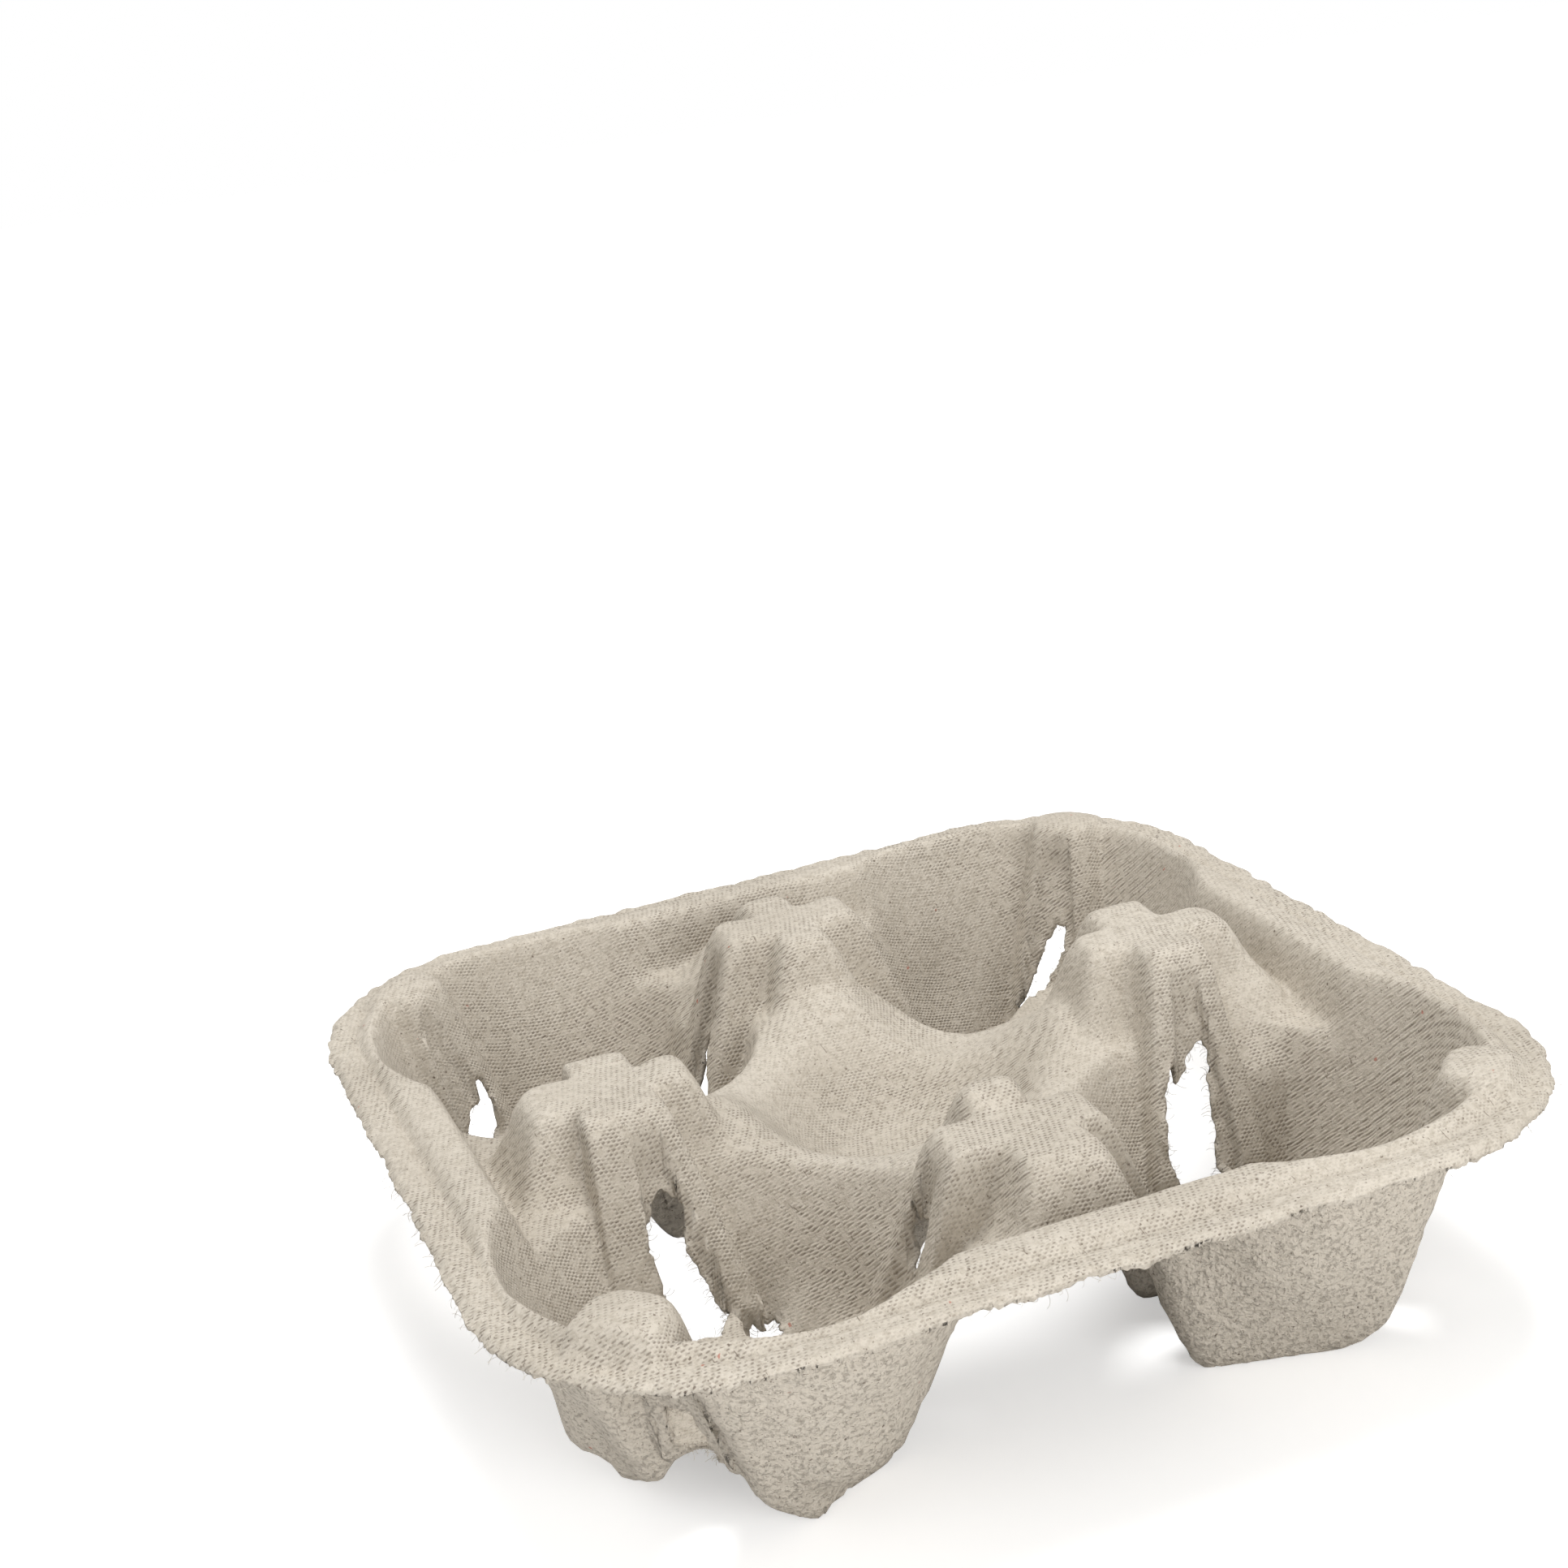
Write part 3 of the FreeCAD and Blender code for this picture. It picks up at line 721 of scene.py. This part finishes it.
def fibre_tree(material):
    """Thin curved hairs on every point of a mesh, along its direction attribute."""
    tree = bpy.data.node_groups.new("Loose fibres", "GeometryNodeTree")
    socket(tree, "Geometry", "NodeSocketGeometry", None)
    names = {}
    for name, value in (("Length", 0.0022), ("Thickness", 0.00006), ("Spread", 1.4)):
        names[name] = socket(tree, name, "NodeSocketFloat", value)
    names["Seed"] = socket(tree, "Seed", "NodeSocketInt", 7)
    socket(tree, "Geometry", "NodeSocketGeometry", None, into=False)
    add = tree.nodes.new
    link = tree.links.new
    given = add("NodeGroupInput")
    made = add("NodeGroupOutput")

    curve = add("GeometryNodeCurveQuadraticBezier")
    curve.inputs["Resolution"].default_value = 4
    curve.inputs["Start"].default_value = (0.0, 0.0, 0.0)
    curve.inputs["Middle"].default_value = (0.25, 0.0, 0.6)
    curve.inputs["End"].default_value = (-0.1, 0.2, 1.0)
    ring = add("GeometryNodeCurvePrimitiveCircle")
    ring.mode = "RADIUS"
    ring.inputs["Resolution"].default_value = 3
    share = add("ShaderNodeMath")
    share.operation = "DIVIDE"
    link(given.outputs["Thickness"], share.inputs[0])
    link(given.outputs["Length"], share.inputs[1])
    link(share.outputs[0], ring.inputs["Radius"])
    tube = add("GeometryNodeCurveToMesh")
    tube.inputs["Fill Caps"].default_value = True
    link(curve.outputs[0], tube.inputs["Curve"])
    link(ring.outputs[0], tube.inputs["Profile Curve"])

    away = add("GeometryNodeInputNamedAttribute")
    away.data_type = "FLOAT_VECTOR"
    away.inputs["Name"].default_value = "away"
    loose = add("FunctionNodeRandomValue")
    loose.data_type = "FLOAT_VECTOR"
    loose.inputs["Min"].default_value = (-1.0, -1.0, -1.0)
    loose.inputs["Max"].default_value = (1.0, 1.0, 1.0)
    link(given.outputs["Seed"], loose.inputs["Seed"])
    scaled = add("ShaderNodeVectorMath")
    scaled.operation = "SCALE"
    link(loose.outputs[0], scaled.inputs[0])
    link(given.outputs["Spread"], scaled.inputs["Scale"])
    aim = add("ShaderNodeVectorMath")
    aim.operation = "ADD"
    link(away.outputs[0], aim.inputs[0])
    link(scaled.outputs[0], aim.inputs[1])
    turn = add("FunctionNodeAlignRotationToVector")
    turn.axis = "Z"
    link(aim.outputs[0], turn.inputs["Vector"])

    size = add("FunctionNodeRandomValue")
    size.data_type = "FLOAT"
    size.inputs[2].default_value = 0.25
    size.inputs[3].default_value = 1.0
    link(given.outputs["Seed"], size.inputs["Seed"])
    length = add("ShaderNodeMath")
    length.operation = "MULTIPLY"
    link(size.outputs[1], length.inputs[0])
    link(given.outputs["Length"], length.inputs[1])

    put = add("GeometryNodeInstanceOnPoints")
    link(given.outputs["Geometry"], put.inputs["Points"])
    link(tube.outputs[0], put.inputs["Instance"])
    link(turn.outputs[0], put.inputs["Rotation"])
    link(length.outputs[0], put.inputs["Scale"])
    real = add("GeometryNodeRealizeInstances")
    link(put.outputs[0], real.inputs[0])
    paint = add("GeometryNodeSetMaterial")
    paint.inputs["Material"].default_value = material
    link(real.outputs[0], paint.inputs["Geometry"])
    link(paint.outputs[0], made.inputs[0])
    return tree, names


def bake_tree(base, tree, values, name):
    """The result of a node tree on an object, as a plain mesh object."""
    modifier = base.modifiers.new("Nodes", "NODES")
    modifier.node_group = tree
    for item, value in values:
        modifier[item.identifier] = value
    base.update_tag()
    bpy.context.view_layer.update()
    shown = base.evaluated_get(bpy.context.evaluated_depsgraph_get())
    mesh = bpy.data.meshes.new_from_object(shown)
    base.modifiers.remove(modifier)
    bpy.data.objects.remove(base)
    return new_object(name, mesh)


def pulp_material(settings):
    """Grey-beige pulp with specks, fibres, blotches and the print of a wire screen."""
    material = bpy.data.materials.new("Grey-beige pulp")
    material.use_nodes = True
    tree = material.node_tree
    add = tree.nodes.new
    link = tree.links.new
    shader = tree.nodes["Principled BSDF"]
    shader.inputs["Roughness"].default_value = 0.92
    shader.inputs["Specular IOR Level"].default_value = 0.18
    coords = add("ShaderNodeTexCoord").outputs["Object"]

    def noise_at(scale, detail=2.0, roughness=0.5):
        node = add("ShaderNodeTexNoise")
        node.inputs["Scale"].default_value = scale
        node.inputs["Detail"].default_value = detail
        node.inputs["Roughness"].default_value = roughness
        link(coords, node.inputs["Vector"])
        return node.outputs["Fac"]

    def ramp(value, low, high):
        node = add("ShaderNodeMapRange")
        node.interpolation_type = "SMOOTHSTEP"
        node.inputs["From Min"].default_value = low
        node.inputs["From Max"].default_value = high
        link(value, node.inputs["Value"])
        return node.outputs["Result"]

    def blend(factor, first, second):
        node = add("ShaderNodeMix")
        node.data_type = "RGBA"
        for value, name in ((factor, 0), (first, 6), (second, 7)):
            if isinstance(value, bpy.types.NodeSocket):
                link(value, node.inputs[name])
            else:
                node.inputs[name].default_value = value
        return node.outputs[2]

    def arithmetic(operation, first, second):
        node = add("ShaderNodeMath")
        node.operation = operation
        for index, value in enumerate((first, second)):
            if isinstance(value, bpy.types.NodeSocket):
                link(value, node.inputs[index])
            else:
                node.inputs[index].default_value = value
        return node.outputs[0]

    def stretched(direction, scale, squeeze):
        """Coordinates scaled up, but less so along one direction."""
        node = add("ShaderNodeMapping")
        node.vector_type = "TEXTURE"
        node.inputs["Rotation"].default_value = direction
        node.inputs["Scale"].default_value = (squeeze / scale, 1.0 / scale, 1.0 / scale)
        link(coords, node.inputs["Vector"])
        return node.outputs["Vector"]

    def hairs(direction, scale, squeeze, low, high):
        """Thin strokes along one direction."""
        node = add("ShaderNodeTexNoise")
        node.inputs["Scale"].default_value = 1.0
        node.inputs["Detail"].default_value = 1.0
        link(stretched(direction, scale, squeeze), node.inputs["Vector"])
        return ramp(node.outputs["Fac"], low, high)

    def wave(direction, period, sway):
        """A regular wave across one direction, from -1 to 1."""
        node = add("ShaderNodeVectorMath")
        node.operation = "DOT_PRODUCT"
        link(coords, node.inputs[0])
        node.inputs[1].default_value = tuple(2 * math.pi / period * part for part in direction)
        swing = arithmetic("MULTIPLY", noise_at(140.0, 1.0), sway)
        return arithmetic("SINE", arithmetic("ADD", node.outputs["Value"], swing), 0.0)

    outside = add("ShaderNodeAttribute")
    outside.attribute_name = "outside"
    outside = outside.outputs["Fac"]
    inside = arithmetic("SUBTRACT", 1.0, outside)

    pale = tuple(settings.pulp) + (1.0,)
    deep = tuple(c * f for c, f in zip(settings.pulp, (0.72, 0.70, 0.67))) + (1.0,)
    # the dark colour of the specks and fibres, also used for the painted shade in the pits
    speck_and_shade = tuple(settings.speck_and_shade) + (1.0,)
    red = tuple(settings.red) + (1.0,)
    colour = blend(arithmetic("MULTIPLY", ramp(noise_at(26.0, 3.0), 0.35, 0.68), 0.35), pale, deep)
    colour = blend(arithmetic("MULTIPLY", ramp(noise_at(750.0, 4.0, 0.75), 0.42, 0.66), 0.75), colour, deep)
    dull = tuple(c * f for c, f in zip(settings.pulp, (0.93, 0.92, 0.91))) + (1.0,)
    colour = blend(arithmetic("MULTIPLY", outside, ramp(noise_at(300.0, 4.0, 0.7), 0.3, 0.6)), colour, dull)

    # print of the wire screen on the upper side: rows of short raised strokes in the relief, with painted
    # shade darkening the pits between them
    weave = arithmetic("MULTIPLY", wave((0.75, 0.66, 0.12), 0.0016, 5.0),
                       wave((-0.35, 0.60, 0.75), 0.00088, 4.0))
    patches = ramp(noise_at(30.0, 3.0), 0.36, 0.58)
    broken = ramp(noise_at(500.0, 2.0), 0.32, 0.60)
    print_depth = arithmetic("ADD", arithmetic("MULTIPLY", patches, 0.65), 0.35)
    print_depth = arithmetic("MULTIPLY", arithmetic("MULTIPLY", print_depth, inside), broken)
    # painted shade: the pits of the screen print, where its wave is lowest, darkened towards the dark speck
    # colour
    pit_shade = arithmetic("MULTIPLY", ramp(weave, -0.1, -0.7), print_depth)
    colour = blend(arithmetic("MULTIPLY", pit_shade, 0.6), colour, speck_and_shade)

    # pits between the matted fibres on the outside: the bump further down sinks them, and their colour here
    # is painted shade, darkened towards the dark speck colour
    pits = arithmetic("MULTIPLY", ramp(noise_at(1000.0, 4.0, 0.7), 0.52, 0.66), outside)
    colour = blend(arithmetic("MULTIPLY", pits, 0.28), colour, speck_and_shade)

    # dark fibres
    strokes = arithmetic("MAXIMUM", hairs((0.3, 0.5, 0.6), 2200.0, 5.0, 0.71, 0.76),
                         hairs((1.2, -0.7, 2.0), 1900.0, 5.0, 0.71, 0.77))
    colour = blend(arithmetic("MULTIPLY", strokes, 0.6), colour, speck_and_shade)

    # dark specks and a few reddish ones: scale, share of the cells left bare, size, colour
    kinds = ((620.0, 0.94, 0.20, speck_and_shade), (1300.0, 0.86, 0.24, speck_and_shade), (330.0, 0.985, 0.16, red))
    for scale, share, size, paint in kinds:
        cells = add("ShaderNodeTexVoronoi")
        cells.inputs["Scale"].default_value = scale
        swirl = add("ShaderNodeVectorMath")
        swirl.operation = "MULTIPLY_ADD"
        ripple = add("ShaderNodeTexNoise")
        ripple.inputs["Scale"].default_value = scale * 3.0
        link(coords, ripple.inputs["Vector"])
        link(ripple.outputs["Color"], swirl.inputs[0])
        swirl.inputs[1].default_value = (0.5 / scale,) * 3
        link(coords, swirl.inputs[2])
        link(swirl.outputs["Vector"], cells.inputs["Vector"])
        dots = ramp(cells.outputs["Distance"], size, size * 0.6)
        split = add("ShaderNodeSeparateColor")
        link(cells.outputs["Color"], split.inputs[0])
        few = arithmetic("GREATER_THAN", split.outputs[0], share)
        colour = blend(arithmetic("MULTIPLY", arithmetic("MULTIPLY", dots, few), 0.8), colour, paint)
    link(colour, shader.inputs["Base Color"])

    # grain, felted fibres outside and pits where the screen pressed
    grain = noise_at(1600.0, 4.0, 0.7)
    felted = arithmetic("ADD", 0.7, arithmetic("MULTIPLY", outside, 1.8))
    tufts = arithmetic("MULTIPLY", noise_at(430.0, 4.0, 0.65), felted)
    height = arithmetic("ADD", arithmetic("MULTIPLY", grain, 0.5), tufts)
    felt = arithmetic("MULTIPLY", hairs((0.8, 0.2, 1.1), 800.0, 6.0, 0.45, 0.65), outside)
    height = arithmetic("ADD", height, arithmetic("MULTIPLY", felt, 0.5))
    printed = arithmetic("MULTIPLY", weave, print_depth)
    height = arithmetic("ADD", height, arithmetic("MULTIPLY", printed, 0.30))
    height = arithmetic("SUBTRACT", height, arithmetic("MULTIPLY", pits, 0.55))
    bump = add("ShaderNodeBump")
    bump.inputs["Strength"].default_value = 0.8
    bump.inputs["Distance"].default_value = 0.0005
    link(height, bump.inputs["Height"])
    link(bump.outputs["Normal"], shader.inputs["Normal"])
    return material


def floor_material(settings):
    """Pale floor that is white to the camera away from the tray's shadow."""
    material = bpy.data.materials.new("Floor")
    material.use_nodes = True
    tree = material.node_tree
    add = tree.nodes.new
    link = tree.links.new
    shader = tree.nodes["Principled BSDF"]
    shader.inputs["Base Color"].default_value = tuple(settings.floor) + (1.0,)
    shader.inputs["Roughness"].default_value = 0.9
    shader.inputs["Specular IOR Level"].default_value = 0.0
    # a glow for the camera alone, full under the tray, where the torn holes show the floor,
    # and full again where the floor is only background
    place = add("ShaderNodeVectorMath")
    place.operation = "SUBTRACT"
    link(add("ShaderNodeTexCoord").outputs["Object"], place.inputs[0])
    place.inputs[1].default_value = HOLE_FLOOR
    away = add("ShaderNodeVectorMath")
    away.operation = "LENGTH"
    link(place.outputs[0], away.inputs[0])

    def fade(start, end, first, last):
        node = add("ShaderNodeMapRange")
        node.interpolation_type = "SMOOTHSTEP"
        node.inputs["From Min"].default_value = start
        node.inputs["From Max"].default_value = end
        node.inputs["To Min"].default_value = first
        node.inputs["To Max"].default_value = last
        link(away.outputs["Value"], node.inputs["Value"])
        return node.outputs["Result"]

    glow = add("ShaderNodeMath")
    glow.operation = "MAXIMUM"
    link(fade(*NEAR_GLOW, 1.0, settings.glow), glow.inputs[0])
    link(fade(*FAR_GLOW, settings.glow, 1.0), glow.inputs[1])
    seen = add("ShaderNodeMath")
    seen.operation = "MULTIPLY"
    link(add("ShaderNodeLightPath").outputs["Is Camera Ray"], seen.inputs[0])
    link(glow.outputs[0], seen.inputs[1])
    shader.inputs["Emission Color"].default_value = (1.0, 1.0, 1.0, 1.0)
    link(seen.outputs[0], shader.inputs["Emission Strength"])
    return material


def studio_world(settings):
    """An even pale sky that is pure white to the camera."""
    world = bpy.data.worlds.new("Studio")
    world.use_nodes = True
    tree = world.node_tree
    back = tree.nodes["Background"]
    back.inputs["Color"].default_value = (1.0, 1.0, 1.0, 1.0)
    rays = tree.nodes.new("ShaderNodeLightPath")
    white = tree.nodes.new("ShaderNodeMapRange")
    white.inputs["To Min"].default_value = settings.sky
    tree.links.new(rays.outputs["Is Camera Ray"], white.inputs["Value"])
    tree.links.new(white.outputs["Result"], back.inputs["Strength"])
    return world


class TraySettings(bpy.types.PropertyGroup):
    wall: FloatProperty(name="Wall", description="Thickness of the pulp", default=0.0024,
                        subtype="DISTANCE", unit="LENGTH", precision=5)
    ragged: FloatProperty(name="Ragged edge", description="How deep the torn edges are frayed",
                          default=0.001, subtype="DISTANCE", unit="LENGTH", precision=5)
    lump: FloatProperty(name="Lumps", description="Height of the lumps in the pulp",
                        default=0.0003, subtype="DISTANCE", unit="LENGTH", precision=5)
    pulp: FloatVectorProperty(name="Pulp", description="Colour of the pulp", subtype="COLOR",
                              size=3, min=0.0, max=1.0, default=(0.57, 0.52, 0.445))
    # the dark colour of the specks and fibres, also used for the painted shade in the pits of the pulp
    speck_and_shade: FloatVectorProperty(name="Specks", description="Colour of the dark specks", subtype="COLOR",
                               size=3, min=0.0, max=1.0, default=(0.13, 0.10, 0.075))
    red: FloatVectorProperty(name="Red specks", description="Colour of the few reddish specks",
                             subtype="COLOR", size=3, min=0.0, max=1.0, default=(0.40, 0.15, 0.11))


class FibreSettings(bpy.types.PropertyGroup):
    length: FloatProperty(name="Length", description="Longest loose fibre", default=0.0024,
                          subtype="DISTANCE", unit="LENGTH", precision=5)
    thickness: FloatProperty(name="Thickness", description="Half the width of a fibre", default=0.00005,
                             subtype="DISTANCE", unit="LENGTH", precision=6)
    seed: IntProperty(name="Seed", description="Changes how the fibres lie", default=7)


class StudioSettings(bpy.types.PropertyGroup):
    floor: FloatVectorProperty(name="Floor", description="Colour of the floor", subtype="COLOR",
                               size=3, min=0.0, max=1.0, default=(0.9, 0.9, 0.9))
    glow: FloatProperty(name="Glow", description="How white the floor is in full shadow, to the camera",
                        default=0.42, min=0.0, max=1.0)
    sky: FloatProperty(name="Sky", description="Even light from all sides", default=0.4, min=0.0, max=1.0)


class CARRIER_OT_tray(bpy.types.Operator):
    """Build the moulded tray as one sheet of pulp with torn openings"""
    bl_idname = "carrier.tray"
    bl_label = "Tray"

    def execute(self, context):
        settings = context.scene.carrier_tray
        points, faces, marks, edge, away = tray_mesh(settings)
        mesh = bpy.data.meshes.new("pulp_tray")
        mesh.from_pydata(points.tolist(), [], faces)
        mesh.attributes.new("outside", "FLOAT", "POINT").data.foreach_set("value", marks.astype(np.float32))
        mesh.shade_smooth()
        material = pulp_material(settings)
        mesh.materials.append(material)
        tray = new_object("pulp_tray", mesh)
        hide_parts(NODE)
        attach(tray, "root")

        # loose fibres along every torn edge
        fibres = context.scene.carrier_fibres
        mesh = bpy.data.meshes.new("fibre_roots")
        mesh.from_pydata(edge.tolist(), [], [])
        directions = mesh.attributes.new("away", "FLOAT_VECTOR", "POINT")
        directions.data.foreach_set("vector", np.asarray(away, np.float32).ravel())
        roots = new_object("fibre_roots", mesh)
        tree, names = fibre_tree(material)
        values = (
            (names["Length"], fibres.length),
            (names["Thickness"], fibres.thickness),
            (names["Seed"], fibres.seed),
        )
        hairs = bake_tree(roots, tree, values, "pulp_fibres")
        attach(hairs, "root")
        return {"FINISHED"}


class CARRIER_OT_studio(bpy.types.Operator):
    """Set up the pale floor, the soft lamps and the camera"""
    bl_idname = "carrier.studio"
    bl_label = "Studio"

    def execute(self, context):
        scene = context.scene
        settings = scene.carrier_studio
        # floor
        mesh = bpy.data.meshes.new("floor")
        signs = ((-1, -1), (1, -1), (1, 1), (-1, 1))
        mesh.from_pydata([(sx * FLOOR_HALF, sy * FLOOR_HALF, 0) for sx, sy in signs], [], [(0, 1, 2, 3)])
        floor = new_object("floor", mesh)
        mesh.materials.append(floor_material(settings))
        # lamps
        for name, place, energy, width in LAMPS:
            data = bpy.data.lights.new(name, "AREA")
            data.energy = energy
            data.size = width
            lamp = bpy.data.objects.new(name, data)
            lamp.location = place
            lamp.rotation_mode = "QUATERNION"
            lamp.rotation_quaternion = (-Vector(place)).to_track_quat("-Z", "Y")
            scene.collection.objects.link(lamp)
        scene.world = studio_world(settings)
        # camera
        data = bpy.data.cameras.new("camera")
        data.sensor_width = SENSOR
        data.lens = FOCAL_LENGTH
        data.clip_start = 0.01
        data.clip_end = 20.0
        camera = bpy.data.objects.new("camera", data)
        turn = Matrix(CAMERA_AXES).transposed().to_4x4()
        camera.matrix_world = Matrix.Translation(CAMERA_PLACE) @ turn
        scene.collection.objects.link(camera)
        scene.camera = camera
        scene.view_settings.view_transform = "Standard"
        return {"FINISHED"}


class CARRIER_PT_panel(bpy.types.Panel):
    """Sizes, colours and steps of the cup carrier"""
    bl_idname = "CARRIER_PT_panel"
    bl_label = "Cup Carrier"
    bl_space_type = "VIEW_3D"
    bl_region_type = "UI"
    bl_category = "Cup Carrier"

    def draw(self, context):
        layout = self.layout
        for group in ("carrier_tray", "carrier_fibres", "carrier_studio"):
            box = layout.box()
            settings = getattr(context.scene, group)
            for name in settings.__annotations__:
                box.prop(settings, name)
        layout.operator(CARRIER_OT_tray.bl_idname)
        layout.operator(CARRIER_OT_studio.bl_idname)


GROUPS = (
    ("carrier_tray", TraySettings),
    ("carrier_fibres", FibreSettings),
    ("carrier_studio", StudioSettings),
)
CLASSES = tuple(group for _, group in GROUPS) + (CARRIER_OT_tray, CARRIER_OT_studio, CARRIER_PT_panel)


def register():
    for item in CLASSES:
        bpy.utils.register_class(item)
    for name, group in GROUPS:
        setattr(bpy.types.Scene, name, PointerProperty(type=group))


def unregister():
    for name, _ in GROUPS:
        delattr(bpy.types.Scene, name)
    for item in reversed(CLASSES):
        bpy.utils.unregister_class(item)


def main():
    register()
    bpy.ops.carrier.studio()
    bpy.ops.carrier.tray()


if __name__ == "__main__":
    main()
